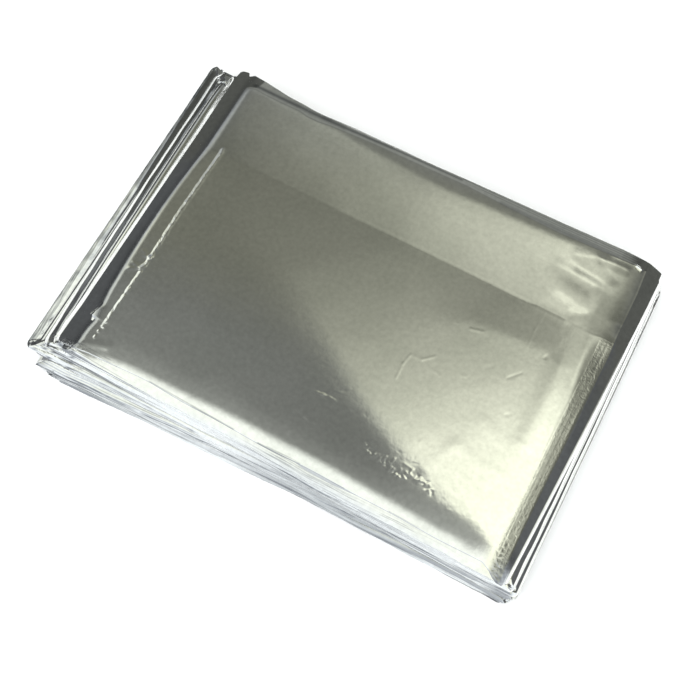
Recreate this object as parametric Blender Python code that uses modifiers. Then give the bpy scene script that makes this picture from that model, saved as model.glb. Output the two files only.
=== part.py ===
"""Folded emergency foil blanket, lying flat.

One long sheet of metallised film is laid back and forth in ten layers, over five folds at the
right and four at the left. The lower layers reach further out than the upper ones, and fan
towards the front left corner. The last layer ends in a thinned free end near the left edge, and
a flap of film lies on its top. Metres, +Z up, origin under the middle of the folded pack.
"""

import math
from collections import namedtuple

import bmesh
import bpy

MM = 0.001

# Driving dimensions
LAYER_THICK = 1.0 * MM  # one laid layer, itself many plies of thin film pressed flat
LAYER_GAP = 0.36 * MM  # air between two laid layers
CROWN = 0.045  # how much the stack swells at its middle, as a share of its height
CROWN_HALF_LENGTH = 66 * MM
CROWN_HALF_WIDTH = 45 * MM
RIPPLE = 0.014  # slow unevenness of the stack's height, as a share of it
RIPPLE_LENGTH = 74 * MM
RIPPLE_WIDTH = 61 * MM
EDGE_ROUND = 0.5 * MM  # rounding of the front, back and free edges of a layer
EDGE_THIN = 0.35  # thickness left at the very edge, as a share
EDGE_WAVE = 0.25 * MM  # how far a layer's long edges wander
EDGE_WAVE_LENGTH = 58 * MM
TOP_END_SLOPE = 4.2 * MM  # the top layer's free end thins over this length
TOP_END_THIN = 0.4  # down to this share of its thickness
FLAP_LIFT = 0.12 * MM  # height of the flap over the rest of the top layer
FLAP_STEP = 0.8 * MM  # width of the step at the flap's edge
FLAP_BACK_EDGE = 20.5 * MM
FLAP_LEFT_EDGE = -53.6 * MM
TURN_STEPS = 6
LAYER_STEPS = 8

# Where each layer starts and ends, from the underside up, in millimetres. Reach is the furthest
# point left or right, at the front end, the middle and the back end of the fold; front_edge and
# back_edge are where the sheet's long edges lie there. The first and last rows are free ends.
Fold = namedtuple("Fold", "side reach_front reach_middle reach_back front_edge back_edge")
FOLDS = [
    Fold("left", -67.8, -67.0, -66.2, -49.6, 43.2),
    Fold("right", 64.6, 64.2, 63.4, -45.9, 43.4),
    Fold("left", -69.6, -69.2, -68.8, -48.8, 43.8),
    Fold("right", 65.9, 65.6, 64.6, -44.9, 43.9),
    Fold("left", -71.0, -72.0, -71.4, -46.9, 46.9),
    Fold("right", 64.4, 64.1, 63.5, -44.6, 44.1),
    Fold("left", -66.3, -66.5, -67.4, -45.0, 44.2),
    Fold("right", 62.6, 62.4, 62.7, -44.3, 44.4),
    Fold("left", -62.2, -61.9, -62.9, -43.9, 43.9),
    Fold("right", 61.1, 61.2, 62.2, -44.2, 44.6),
    Fold("left", -60.6, -60.4, -61.2, -44.0, 44.8),
]
LAYERS = len(FOLDS) - 1
TOP = LAYERS - 1
PITCH = LAYER_THICK + LAYER_GAP
SWING = {"left": -1, "right": 1}

# Lines across the sheet's width, as shares of it from the front edge to the back edge
ROWS = [0, 0.0018, 0.0056, 0.04, 0.15, 0.3, 0.45, 0.6, 0.722, 0.731, 0.85, 0.955, 0.9944, 0.9982, 1]
# Lines along the top layer, as shares of it from the right fold to its free end
TOP_SHARES = [0, 0.03, 0.1, 0.22, 0.35, 0.5, 0.65, 0.8, 0.9, 0.94, 0.9467, 0.966, 0.983, 0.996, 1]


def mix(a, b, share):
    return a + (b - a) * share


def ease(share):
    """Runs from 0 to 1 with a level start and end."""
    return share * share * (3 - 2 * share)


def reach(fold, across):
    """How far a fold or free end reaches, on a bow through its front, middle and back."""
    front, middle, back = fold.reach_front, fold.reach_middle, fold.reach_back
    straight = mix(front, back, across)
    bow = middle - (front + back) / 2
    return (straight + bow * 4 * across * (1 - across)) * MM


def edges(start, end, share):
    """The sheet's front and back edge, at a share of the way between two folds."""
    front = mix(start.front_edge, end.front_edge, ease(share)) * MM
    back = mix(start.back_edge, end.back_edge, ease(share)) * MM
    return front, back


def swell(x, y):
    """How much thicker the stack is at a place than it would be if pressed flat."""
    along = max(0, 1 - (x / CROWN_HALF_LENGTH) ** 2)
    across = max(0, 1 - (y / CROWN_HALF_WIDTH) ** 2)
    ripple = math.sin(2 * math.pi * x / RIPPLE_LENGTH) * math.cos(2 * math.pi * y / RIPPLE_WIDTH + 0.8)
    return 1 + CROWN * along * across + RIPPLE * ripple


def level(layer, x, y):
    """Height of a layer's middle surface."""
    return LAYER_THICK / 2 + layer * PITCH * swell(x, y)


def turn_radius():
    return PITCH / 2


def flat_end(fold, across, free):
    """Where a layer's flat run meets its fold, or ends if the sheet does."""
    inset = 0 if free else turn_radius() + LAYER_THICK / 2
    return reach(fold, across) - SWING[fold.side] * inset


def layer_point(layer, share, across):
    """A point on a layer's flat run, the share of the way from its lower to its upper fold."""
    start, end = FOLDS[layer], FOLDS[layer + 1]
    front, back = edges(start, end, share)
    x = mix(
        flat_end(start, across, layer == 0),
        flat_end(end, across, layer == TOP),
        share,
    )
    wander = EDGE_WAVE * math.sin(2 * math.pi * x / EDGE_WAVE_LENGTH + 1.7 * layer)
    y = mix(front, back, across) + wander * math.sin(math.pi * share)
    return x, y, level(layer, x, y)


def turn_point(layer, angle, across):
    """A point on the half round fold that leads from a layer up to the next."""
    fold = FOLDS[layer + 1]
    x, y, low = layer_point(layer, 1, across)
    high = level(layer + 1, x, y)
    radius = (high - low) / 2
    return (
        x + SWING[fold.side] * radius * math.cos(angle),
        y,
        (low + high) / 2 + radius * math.sin(angle),
    )


def edge_share(distance):
    """Thickness share at a distance from a rounded edge."""
    if distance >= EDGE_ROUND:
        return 1
    inward = 1 - max(0, distance) / EDGE_ROUND
    return max(EDGE_THIN, math.sqrt(1 - inward * inward))


def flap_share(x, y):
    """0 beside the flap and 1 on it, with a short ramp at its back and left edges."""
    from_back = ease(min(1, max(0, (FLAP_BACK_EDGE - y) / FLAP_STEP + 0.5)))
    from_left = ease(min(1, max(0, (x - FLAP_LEFT_EDGE) / FLAP_STEP + 0.5)))
    return from_back * from_left


def top_share(x, y, end):
    """Thickness share of the top layer: a flap on it, and a free end that thins out."""
    body = 1 - FLAP_LIFT / LAYER_THICK * (1 - flap_share(x, y))
    slope = min(1, max(0, (x - end) / TOP_END_SLOPE))
    return body * mix(TOP_END_THIN, 1, slope)


def stations():
    """The steps along the sheet, each a layer with a share or an angle of the turn above it."""
    path = []
    for layer in range(LAYERS):
        shares = TOP_SHARES if layer == TOP else [i / LAYER_STEPS for i in range(LAYER_STEPS + 1)]
        path += [(layer, share, None) for share in shares]
        if layer < TOP:
            turns = [-math.pi / 2 + math.pi * i / TURN_STEPS for i in range(1, TURN_STEPS)]
            path += [(layer, None, angle) for angle in turns]
    return path


def sheet_point(station, across):
    """A point of the middle surface and the share of the full thickness there."""
    layer, share, angle = station
    if share is None:
        place = turn_point(layer, angle, across)
        front, back = edges(FOLDS[layer], FOLDS[layer + 1], 1)
    else:
        place = layer_point(layer, share, across)
        front, back = edges(FOLDS[layer], FOLDS[layer + 1], share)
    thick = edge_share(min(across, 1 - across) * (back - front))
    if layer == 0 and share is not None:
        thick = min(thick, edge_share(place[0] - reach(FOLDS[0], across)))
    if layer == TOP:
        full = top_share(place[0], place[1], reach(FOLDS[-1], across))
        lowered = (1 - full) * LAYER_THICK / 2
        place = (place[0], place[1], place[2] - lowered)
        thick = min(thick, full)
    return place, thick


def foil_film():
    """Bright silver metallised film."""
    material = bpy.data.materials.new("foil_film")
    material.use_nodes = True
    shader = material.node_tree.nodes["Principled BSDF"]
    shader.inputs["Base Color"].default_value = (0.82, 0.83, 0.79, 1)
    shader.inputs["Metallic"].default_value = 1
    shader.inputs["Roughness"].default_value = 0.16
    return material


def fold_sheet(name):
    """Bends a flat grid into the folded sheet's middle surface, and gives it its thickness."""
    path = stations()
    last_station, last_row = len(path) - 1, len(ROWS) - 1
    shape = bmesh.new()
    bmesh.ops.create_grid(shape, x_segments=last_station, y_segments=last_row, size=1)
    mesh = bpy.data.meshes.new(name)
    shape.to_mesh(mesh)
    shape.free()

    sheet = bpy.data.objects.new(name, mesh)
    thickness = sheet.vertex_groups.new(name="thickness")
    for vertex in mesh.vertices:
        along = round((vertex.co.x + 1) / 2 * last_station)
        across = ROWS[round((vertex.co.y + 1) / 2 * last_row)]
        place, share = sheet_point(path[along], across)
        vertex.co = place
        thickness.add([vertex.index], share, "REPLACE")
    centre_over_origin(mesh)
    mesh.shade_smooth()

    shell = sheet.modifiers.new("sheet thickness", "SOLIDIFY")
    shell.thickness = LAYER_THICK
    shell.offset = 0
    shell.vertex_group = thickness.name
    shell.use_even_offset = True
    return sheet


def centre_over_origin(mesh):
    """Moves the pack sideways so that the origin lies under the middle of its footprint.

    The outermost points left and right are folds, half a layer further out than their middle
    surface, and both sides have one, so the middle surface gives the centre."""
    for axis in (0, 1):
        places = [vertex.co[axis] for vertex in mesh.vertices]
        middle = (min(places) + max(places)) / 2
        for vertex in mesh.vertices:
            vertex.co[axis] -= middle


def build():
    for old in list(bpy.data.objects):
        bpy.data.objects.remove(old)
    pack = bpy.data.collections.new("folded_foil_blanket")
    bpy.context.scene.collection.children.link(pack)
    sheet = fold_sheet("foil_blanket")
    sheet.data.materials.append(foil_film())
    pack.objects.link(sheet)


build()
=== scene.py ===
import math

import bpy
import numpy as np
from mathutils import Euler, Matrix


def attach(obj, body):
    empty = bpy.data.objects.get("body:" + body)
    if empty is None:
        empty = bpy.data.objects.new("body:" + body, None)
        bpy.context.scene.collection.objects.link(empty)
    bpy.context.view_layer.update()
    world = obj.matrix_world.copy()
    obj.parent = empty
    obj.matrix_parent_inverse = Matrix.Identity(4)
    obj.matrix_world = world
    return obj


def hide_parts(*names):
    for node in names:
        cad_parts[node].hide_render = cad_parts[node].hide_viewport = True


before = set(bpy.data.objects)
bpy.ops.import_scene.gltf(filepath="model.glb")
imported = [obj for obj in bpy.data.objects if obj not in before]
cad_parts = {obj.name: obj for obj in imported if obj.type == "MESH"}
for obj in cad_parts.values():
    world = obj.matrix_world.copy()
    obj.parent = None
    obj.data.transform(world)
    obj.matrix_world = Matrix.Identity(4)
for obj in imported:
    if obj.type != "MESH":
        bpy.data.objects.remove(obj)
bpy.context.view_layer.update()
mm = 0.001
rng = np.random.default_rng(1310)  # every random draw comes from here, so each run is alike


# shader tools

class Wire:  # a socket that takes part in sums, so shader maths reads as Python
    def __init__(self, graph, socket):
        self.graph, self.socket = graph, socket

    def maths(self, operation, *values):  # one Math node on numbers or wires
        sockets = dict(enumerate(values))
        return self.graph.node("Math", {"operation": operation}, sockets)

    def __add__(self, other):
        return self.maths("ADD", self, other)

    def __sub__(self, other):
        return self.maths("SUBTRACT", self, other)

    def __rsub__(self, other):
        return self.maths("SUBTRACT", other, self)

    def __mul__(self, other):
        return self.maths("MULTIPLY", self, other)

    def __truediv__(self, other):
        return self.maths("DIVIDE", self, other)

    def __rtruediv__(self, other):
        return self.maths("DIVIDE", other, self)

    def __pow__(self, other):
        return self.maths("POWER", self, other)

    def __abs__(self):
        return self.maths("ABSOLUTE", self)

    __radd__, __rmul__ = __add__, __mul__

    def atLeast(self, other):  # the larger of the two
        return self.maths("MAXIMUM", self, other)

    def atMost(self, other):  # the smaller of the two
        return self.maths("MINIMUM", self, other)

    def rise(self, low, high):  # 0 below low, 1 above high, eased between them
        settings = {"interpolation_type": "SMOOTHSTEP"}
        sockets = {"Value": self, "From Min": low, "From Max": high}
        return self.graph.node("MapRange", settings, sockets)

    def turn(self, start, end):  # 0 at the start and 1 at the end, whichever is the higher
        return self.rise(start, end) if start < end else 1 - self.rise(end, start)


class Graph:  # the nodes of one material or world
    def __init__(self, owner):
        owner.use_nodes = True
        self.tree = owner.node_tree
        self.tree.nodes.clear()

    # any node: its settings first, then the values or wires of its sockets
    def node(self, kind, settings=None, sockets=None, output=0):
        made = self.tree.nodes.new("ShaderNode" + kind)
        for name, value in (settings or {}).items():
            if name == "stops":
                self.setStops(made.color_ramp, value)
            else:
                setattr(made, name, value)
        for name, value in (sockets or {}).items():
            if isinstance(value, Wire):
                self.tree.links.new(value.socket, made.inputs[name])
            else:
                made.inputs[name].default_value = value
        return Wire(self, made.outputs[output])

    def setStops(self, ramp, stops):  # grey levels along a ramp, eased between
        ramp.interpolation = "EASE"
        while len(ramp.elements) < len(stops):
            ramp.elements.new(1)
        for element, (place, level) in zip(ramp.elements, stops):
            element.position = place
            element.color = (level, level, level, 1)

    def blend(self, share, first, second):  # a share of the way from one colour to another
        settings = {"data_type": "RGBA"}
        return self.node("Mix", settings, {0: share, 6: first, 7: second}, 2)

    def scaled(self, vector, factor):  # a vector or colour times a number
        return self.node("VectorMath", {"operation": "SCALE"}, {0: vector, "Scale": factor})

    def finish(self, kind, wire, socket="Surface"):  # the output node
        end = self.tree.nodes.new("ShaderNodeOutput" + kind)
        self.tree.links.new(wire.socket, end.inputs[socket])


# mesh tools

def smooth(share):  # 0 to 1 with level ends
    share = np.clip(share, 0, 1)
    return share * share * (3 - 2 * share)


def eased(value, start, length):  # 0 at the start, 1 a length on; a length below 0 runs the other way
    return smooth((value - start) / length)


def within(value, low, high, softLow, softHigh):  # 1 between two limits, eased inside each
    return eased(value, low, softLow) * eased(value, high, -softHigh)


def mix(first, second, share):  # a share of the way from the first to the second
    return first + (second - first) * share


def past(distance):  # the distance after a line, and nothing before it
    return np.clip(distance, 0, None)


def bump(distance, width):  # 1 on a line, falling off to nothing like a bell
    return np.exp(-((distance / width) ** 2))


# sum of plane waves in random directions, about -1 to 1
def sineNoise(x, y, longest, shortest, count):
    total = np.zeros(np.broadcast(x, y).shape)
    for length in np.geomspace(longest, shortest, count):
        turn, phase = rng.uniform(0, 2 * math.pi, 2)
        along = x * math.cos(turn) + y * math.sin(turn)
        total = total + np.sin(2 * math.pi * along / length + phase)
    return total / math.sqrt(count)


def named(columns, rows):  # each row of a table by the names of its columns
    return [dict(zip(columns, row)) for row in rows]


# a surface on a grid of points in millimetres, four neighbours to a face, parted at the breaks
def gridPiece(name, x, y, z, crumple, dull, material, breaks=()):
    rows, columns = x.shape
    x, y = x + blanket["middle"][0], y + blanket["middle"][1]
    points = np.stack([x, y, z], axis=-1).reshape(-1, 3) * mm
    whole = np.setdiff1d(np.arange(rows - 1), np.array(breaks, dtype=int) - 1)
    corner = (whole[:, None] * columns + np.arange(columns - 1)).ravel()
    quads = np.stack([corner, corner + columns, corner + columns + 1, corner + 1], axis=-1)
    mesh = bpy.data.meshes.new(name)
    mesh.vertices.add(len(points))
    mesh.vertices.foreach_set("co", points.ravel())
    mesh.loops.add(quads.size)
    mesh.loops.foreach_set("vertex_index", quads.ravel())
    mesh.polygons.add(len(quads))
    mesh.polygons.foreach_set("loop_start", np.arange(len(quads)) * 4)
    mesh.update(calc_edges=True)
    mesh.validate()
    mesh.shade_smooth()
    # how crumpled, and how much painted shade, which also roughens the film
    for attribute, values in (("crumple", crumple), ("dull", dull)):
        data = mesh.attributes.new(attribute, "FLOAT", "POINT").data
        data.foreach_set("value", np.broadcast_to(values, x.shape).ravel().astype(np.float32))
    piece = bpy.data.objects.new(name, mesh)
    bpy.context.scene.collection.objects.link(piece)
    mesh.materials.append(material)
    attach(piece, "root")
    print(name, len(quads) * 2, "triangles")
    return piece


# the folded sheet

blanket = {  # millimetres
    "layerThick": 1.0,  # one laid layer, pressed flat
    "layerGap": 0.36,
    "plies": 24,  # plies of film in a layer
    "plyStack": 0.94,  # their height together
    "crown": 0.045,  # swell at the middle, as a share of the height
    "crownHalfLength": 66,
    "crownHalfWidth": 45,
    "edgeWave": 0.25,  # how far the long edges stray
    "edgeWaveLength": 58,
    "edgeWaveTurn": 1.7,  # of the wave, from one layer to the next
    "edgeTurn": 0.6,  # below 1 the edges change mostly near the left
    "backDip": (1.6, -70.8, -60, 1.4, 6),  # how deep, from where to where, how softly at each end
    "dipLayers": (4, 5),
    "cornerRound": 1.6,
    "halfWidth": 44.5,
    "cutLength": 2110,  # the sheet before it was folded
    "cutWidth": 1310,
    "middle": (3.05, 1.35),  # the top panel's middle in the frame, to the right and to the back
}
# a row for each fold, from the underside up; the first and last are the sheet's free ends
foldColumns = ("side", "reachFront", "reachMiddle", "reachBack", "frontEdge", "backEdge")
foldRows = [
    (-1, -65.4, -66.4, -66.2, -49.9, 43.2),
    (1, 64.2, 63.8, 63.0, -46.05, 43.4),
    (-1, -67.9, -69.0, -68.8, -49.4, 43.8),
    (1, 65.2, 65.0, 64.4, -44.9, 43.9),
    (-1, -71.6, -71.85, -72.1, -46.9, 46.9),
    (1, 64.8, 64.35, 63.5, -44.6, 44.1),
    (-1, -67.1, -68.3, -68.65, -45.0, 44.2),
    (1, 63.4, 63.2, 62.6, -44.3, 44.0),
    (-1, -63.9, -63.6, -63.8, -43.9, 43.9),
    (1, 60.8, 61.8, 62.4, -44.2, 44.0),
    (-1, -62.2, -61.6, -62.0, -44.0, 43.9),
]
folds = dict(zip(foldColumns, np.array(foldRows, dtype=float).T))
lastFold = len(foldRows) - 1
topLayer = lastFold - 1
pitch = blanket["layerThick"] + blanket["layerGap"]
turnRadius = pitch / 2 + blanket["layerThick"] / 2


def bowed(front, middle, back, across):  # a bow through its values at the front, middle and back
    return mix(front, back, across) + (middle - (front + back) / 2) * 4 * across * (1 - across)


def reach(fold, across):  # how far a fold stands out, on its bow
    return bowed(*[folds[name][fold] for name in ("reachFront", "reachMiddle", "reachBack")], across)


def acrossShare(y):  # share of the way from the front to the back
    return np.clip((y + blanket["halfWidth"]) / (2 * blanket["halfWidth"]), 0, 1)


# a layer's front and back edge at a share of its length, eased from one fold's to the next's
def layerEdges(layer, share):
    fromLeft = np.array(layer) % 2 == 0
    turned = smooth(np.where(fromLeft, share, 1 - share) ** blanket["edgeTurn"])
    turned = np.where(fromLeft, turned, 1 - turned)
    front = mix(folds["frontEdge"][layer], folds["frontEdge"][layer + 1], turned)
    back = mix(folds["backEdge"][layer], folds["backEdge"][layer + 1], turned)
    return front, back


def backDip(layer, x):  # how far the third fold's back edge is set in behind its corner
    deep, *span = blanket["backDip"]
    return deep * np.isin(layer, blanket["dipLayers"]) * within(x, *span)


def swell(x, y):  # how much thicker the stack is at a place than if it were pressed flat
    along = past(1 - (x / blanket["crownHalfLength"]) ** 2)
    across = past(1 - (y / blanket["crownHalfWidth"]) ** 2)
    return 1 + blanket["crown"] * along * across


def level(layer, x, y):  # height of a layer's middle
    return blanket["layerThick"] / 2 + layer * pitch * swell(x, y)


def wander(layer, x, share):  # how far a layer's long edges stray, on a sine wave
    turn = 2 * math.pi * x / blanket["edgeWaveLength"] + blanket["edgeWaveTurn"] * layer
    return blanket["edgeWave"] * np.sin(turn) * np.sin(math.pi * share)


# how far a round corner draws the edge in, by the distance left to the end
def cornerInset(distance, radius):
    short = np.clip(radius - distance, 0, radius)
    return radius - np.sqrt(radius ** 2 - short ** 2)


# the film's look

filmLook = {
    "silver": (0.90, 0.905, 0.89, 1),
    "worn": (0.84, 0.85, 0.83, 1),
    "dulled": (0.19, 0.20, 0.22, 1),  # painted shade: the dark colour laid where gaps, creases and shadowed edges are painted dark
    "wornFrom": (0.35, 0.7),  # where the clouds turn it from silver to worn
    "cloudSize": 0.06,  # sizes are per mm
    "roughness": 0.065,
    "roughnessSpread": 0.04,
    "roughCrumpled": 0.04,
    "roughDull": 0.12,
    "peel": 0.0065,  # height of the film's fine unevenness, mm
    "peelSize": 0.42,
    "grain": 0.13,  # how far its tone wavers
    "grainSize": 0.8,
    "crease": 0.06,  # height of the fine creases where it is crumpled, mm
    "creaseSize": 0.75,
    "creaseSharp": 2.2,
}


# bright film: clouded roughness, fine unevenness, creases where the piece says it is crumpled, and painted
# shade, dark and rougher, where the piece paints it
def makeFilm():
    look = filmLook
    material = bpy.data.materials.new("foil_film")
    graph = Graph(material)
    place = graph.scaled(graph.node("TexCoord", output=3), 1000.0)

    def noise(size, detail, distortion=0.0):  # soft noise over the place
        sockets = {"Vector": place, "Scale": size, "Detail": detail, "Distortion": distortion}
        return graph.node("TexNoise", sockets=sockets)

    crumple = graph.node("Attribute", {"attribute_name": "crumple"}, output=2)
    dull = graph.node("Attribute", {"attribute_name": "dull"}, output=2)
    cloud, peel = noise(look["cloudSize"], 3.0), noise(look["peelSize"], 3.0)
    crease, grain = noise(look["creaseSize"], 3.0, 0.5), noise(look["grainSize"], 1.0)
    ridges = 1 - abs(crease * 2 - 1) * look["creaseSharp"]
    height = peel * look["peel"] + ridges * crumple * look["crease"]
    normal = graph.node("Bump", sockets={"Height": height, "Distance": mm, "Strength": 1.0})
    colour = graph.blend(cloud.rise(*look["wornFrom"]), look["silver"], look["worn"])
    colour = graph.scaled(colour, 1 + (grain - 0.5) * 2 * look["grain"])
    # painted shade: the colour turns dark where the piece paints shade
    colour = graph.blend(dull, colour, look["dulled"])
    roughness = look["roughness"] + (cloud - 0.5) * look["roughnessSpread"]
    roughness = roughness + crumple * look["roughCrumpled"] + dull * look["roughDull"]
    sockets = {"Base Color": colour, "Metallic": 1.0, "Roughness": roughness, "Normal": normal}
    graph.finish("Material", graph.node("BsdfPrincipled", sockets=sockets))
    return material


film = makeFilm()
print("film ready")

# the top film

# a slope is given by its drop for each mm, where it starts past its line, and how soft its bend is
top = {  # millimetres
    "rise": 0.56,  # height over the middle of the top layer
    "frontStray": 0.2,
    "rollRise": 0.0072,  # the front roll's curve: drop for each square of the distance past its start
    "slowRoll": (0.0020, -34),  # a slower curve before it: the same, and where it starts
    "slowRollEnds": (56, -10),  # where it ends at the left and right, and its fade
    "flapBack": 20.5,  # the flap's cut edge
    "backLean": (0.020, 0, 0.15),  # behind the flap
    "backRollRise": 0.0065,
    "backSlope": (0.24, 0.25, 0.3),
    "leftSlope": (0.25, -0.15, 1.0),
    "tabShare": 0.62,  # how much of the left slope the tab bridges
    "tabEdge": (-0.175, 0.35),
    "tabSpan": (-33.95, -29, 0.7, 2),  # from its front to its back, and how softly each ends
    "marginLean": (0.022, 0, 0.3),  # between the left crease and the flap, and up
    "marginEnd": (22, -8),
    "rightRoll": (0.0325, 2.1),  # drop for each square past the bend, and how far until it runs straight
    "rightCurl": (0.00042, 4),  # further back: drop for each cube, and how far before the bend it starts
    "curlFrom": (14, 9),
    "rightSlope": (0.30, 0.2, 0.2),
    "rightReach": 0.58,  # how far its round stands past the fold under it
    "roundHalf": 1.35,  # half the height of that round
    "cornerRounds": (1.6, 0.8),  # at the right and the left
    "underTuck": 2.5,
    "wrapDown": 0.35,
    "wrapUnder": 1.2,
    "soft": (0.012, 60, 17),  # its slow unevenness: height at the longest wave, longest and shortest wave
    "cutRidge": (0.060, 0.78),  # the flap's left edge: height and half width
    "cutSpan": (-35.3, 21.2, 0.4, 0.4),
    "lineRidge": (0.010, 0.16),  # its back edge
    "rightRidge": (0.025, 0.3),  # along the right crease, behind the flap
    "stripSpan": (55.6, 59.4, 0.5, 0.3),  # the crinkled strip from left to right, and how softly each ends
    "stripLook": (55.4, 59.0, 0.3, 0.5),
    "stripBack": (20.3, -0.4),
    "stripHeights": (0.0045, 0.004),  # of its long and short crinkles
    "crumpled": {"strip": 0.22, "leftEnd": 0.15, "frontLeft": 0.6, "frontRight": 0.3, "cut": 0.3},
    # painted shade along the left crease, front and back, and at the front right corner
    "dulled": {"creaseFront": 0.66, "creaseBack": 0.35, "frontRight": 0.85},
}
# the lines that its main creases follow, as (x, y)
leftCreaseLine = [
    (-56.9, -44), (-56.9, -40.1), (-56.7, -36.7), (-56.3, -34.3), (-56.6, -31.8), (-57.0, -29.6),
    (-57.5, -25.4), (-57.9, -18), (-58.2, -8), (-58.2, 0), (-57.9, 8), (-57.4, 16), (-57.2, 20.5),
    (-57.2, 31.4), (-57.3, 40.3), (-57.3, 45),
]
# a pointed tab that stands over the left slope
leftTabLine = [(-57.0, -45), (-57.0, -34.2), (-58.3, -33.4), (-57.1, -30.2), (-57.1, -28)]
cutLine = [
    (-53.6, -45), (-53.6, -35), (-53.4, -28.7), (-53.0, -13), (-53.2, 0), (-52.9, 12.4), (-52.6, 21),
    (-52.6, 45),
]
rightCreaseLine = [
    (59.2, -45), (58.9, -31), (58.9, -17), (59.0, 0), (59.0, 16.2), (58.9, 20.3), (58.8, 35.7), (58.1, 45),
]
# where it starts to lean to the right
rightBendLine = [
    (54.8, -45), (54.9, -33), (55.2, -20), (54.2, 0), (52.8, 15), (52.0, 21), (50.8, 26), (50.5, 45),
]
rollLine = [
    (-62, -42.5), (-57, -42), (-54, -40.8), (-50, -40.1), (-44, -39.3), (-36, -38.8), (-28, -38.4),
    (-20, -38.0), (-10, -37.7), (0, -37.6), (20, -37.5), (32, -37.8), (42, -38.1), (50, -37.8),
    (54, -37.2), (62, -36.5),
]
frontLine = [
    (-63, -43.0), (-57, -42.9), (-53, -42.3), (-36, -41.6), (-10, -42.0), (0, -42.1), (18, -41.8),
    (40, -41.8), (54, -41.9), (56.2, -42.9), (57.6, -43.9), (58.8, -44.4), (60.2, -44.4), (60.9, -43.6),
    (63, -42.8),
]
backLine = [
    (-63, 46.3), (-61.5, 46.6), (-59.7, 46.7), (-58.8, 45.3), (-57.6, 46.3), (-52, 45.5), (-46, 44.55),
    (-36, 43.85), (-20, 43.9), (0, 44.35), (20, 44.95), (40, 45.35), (50, 45.5), (57, 45.45), (63, 45.2),
]
backRollLine = [
    (-57, 40.4), (-44, 40.2), (-30, 40.2), (-20, 39.2), (0, 38.4), (20, 38.7), (40, 39.4), (47, 40.4),
    (51, 42.2), (63, 43),
]
backCreaseLine = [
    (-62, 41.8), (-57.2, 41.2), (-54.6, 41.8), (-51.4, 41.5), (-46.1, 41.4), (-41, 41.5), (-38.5, 40.9),
    (-35, 40.9), (-31.5, 41.4), (-20, 42.0), (-5, 42.3), (8, 42.6), (20, 42.0), (34, 41.6), (50, 42.2),
    (58, 42.6), (63, 42.6),
]


def xOn(line, y):  # x at a y, on a line of points that runs from front to back
    points = np.array(line)
    return np.interp(y, points[:, 1], points[:, 0])


def yOn(line, x):  # y at an x, on a line of points that runs from left to right
    points = np.array(line)
    return np.interp(x, points[:, 0], points[:, 1])


# a fall past a line: nothing before its start and straight after it, with the bend rounded
def bend(distance, slope, start, soft):
    distance = distance - start
    return slope * (np.sqrt(distance ** 2 + soft ** 2) + distance) / 2


def rightFall(x, y):  # a square that runs on straight, and further back a slower cube
    beyond = x - xOn(rightBendLine, y)
    rise, straight = top["rightRoll"]
    near = np.minimum(past(beyond), straight)
    roll = rise * near * (2 * past(beyond) - near)
    rise, before = top["rightCurl"]
    return mix(roll, rise * past(beyond + before) ** 3, eased(y, *top["curlFrom"]))


# the top film's height from its slopes and rolls alone: each falls past its own line
def topForm(x, y):
    height = eased(y, *top["marginEnd"]) * bend(xOn(cutLine, y) - x, *top["marginLean"])
    height = height - bend(y - top["flapBack"], *top["backLean"])
    onTab = eased(x - xOn(leftTabLine, y), *top["tabEdge"]) * within(y, *top["tabSpan"])
    height = height - bend(xOn(leftCreaseLine, y) - x, *top["leftSlope"]) * (1 - top["tabShare"] * onTab)
    height = height - top["rollRise"] * past(yOn(rollLine, x) - y) ** 2
    rise, start = top["slowRoll"]
    height = height - rise * past(start - y) ** 2 * eased(np.abs(x), *top["slowRollEnds"])
    height = height - top["backRollRise"] * past(y - yOn(backRollLine, x)) ** 2
    height = height - bend(past(y - yOn(backCreaseLine, x)), *top["backSlope"])
    return height - rightFall(x, y) - bend(x - xOn(rightCreaseLine, y), *top["rightSlope"])


def topSurface(x, y):  # the top layer's level with that form on it
    return level(topLayer, x, y) + top["rise"] + topForm(x, y)


# all the plies

stack = {  # millimetres
    "edgeScatter": (-0.5, 0.15),  # how far each pair of plies is set in or stands out at the long edges
    "topShear": 2.0,  # how far the top layer's upper plies are set back at the front
    "edgeRipple": 0.10,
    "puff": 0.10,  # the plies spring apart at the long edges by this share
    "droop": (0.42, 1.8),  # how far the long edges droop, and the distance over which it fades
    "foldOut": 0.03,  # how far the fold between two plies stands out
    "flatRun": 120,
    "cornerRounds": {5: 2.6, 6: 2.6, 8: 3.4, 9: 3.4},  # radii by layer, others as the blanket's
    "leftInset": 2.2,  # the rounds of the folds stop short of the outer film
    "rightInset": 1.1,
    "freeInset": 2.5,
    "underTop": 0.07,  # least room between the top film and the plies under it
    "underTopLow": (0.03, 0.5),  # more for the top layer's lowest ply, and for the lower layers
    "overFloor": 0.02,
    "edgeCrumple": (0.10, 3),  # how crumpled the long edges are, and the distance over which it fades
    "cornerCrumple": (0.3, 2, 4),  # the corners, and the distances from the edge and from the end
    # painted shade near the long edges: how much, by x
    "dulled": [
        (-52, 0.85), (-40, 0.5), (-28, 0.05), (-14, 0.05), (-4, 0.5), (25, 0.5), (45, 0.12), (57, 0.12),
        (60, 0.75),
    ],
    "dullFade": 1.5,
}
# distances from the left end at which a layer has a line of points
stationPlaces = np.concatenate([
    [0, 0.5, 1.1, 2, 3.2, 4.6, 6.5, 9, 12], np.arange(16, 114, 4.6),
    [117, 120, 122.5, 124.5, 125.8, 126.5, 127]])
turnAngles = np.radians(np.arange(-67.5, 68, 22.5))
insideRows = np.array([0, 0.05, 0.95, 1])
outsideRows = np.concatenate([[0, 0.008, 0.02, 0.04], np.linspace(0.07, 0.93, 24), [0.96, 0.98, 0.992, 1]])


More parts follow.
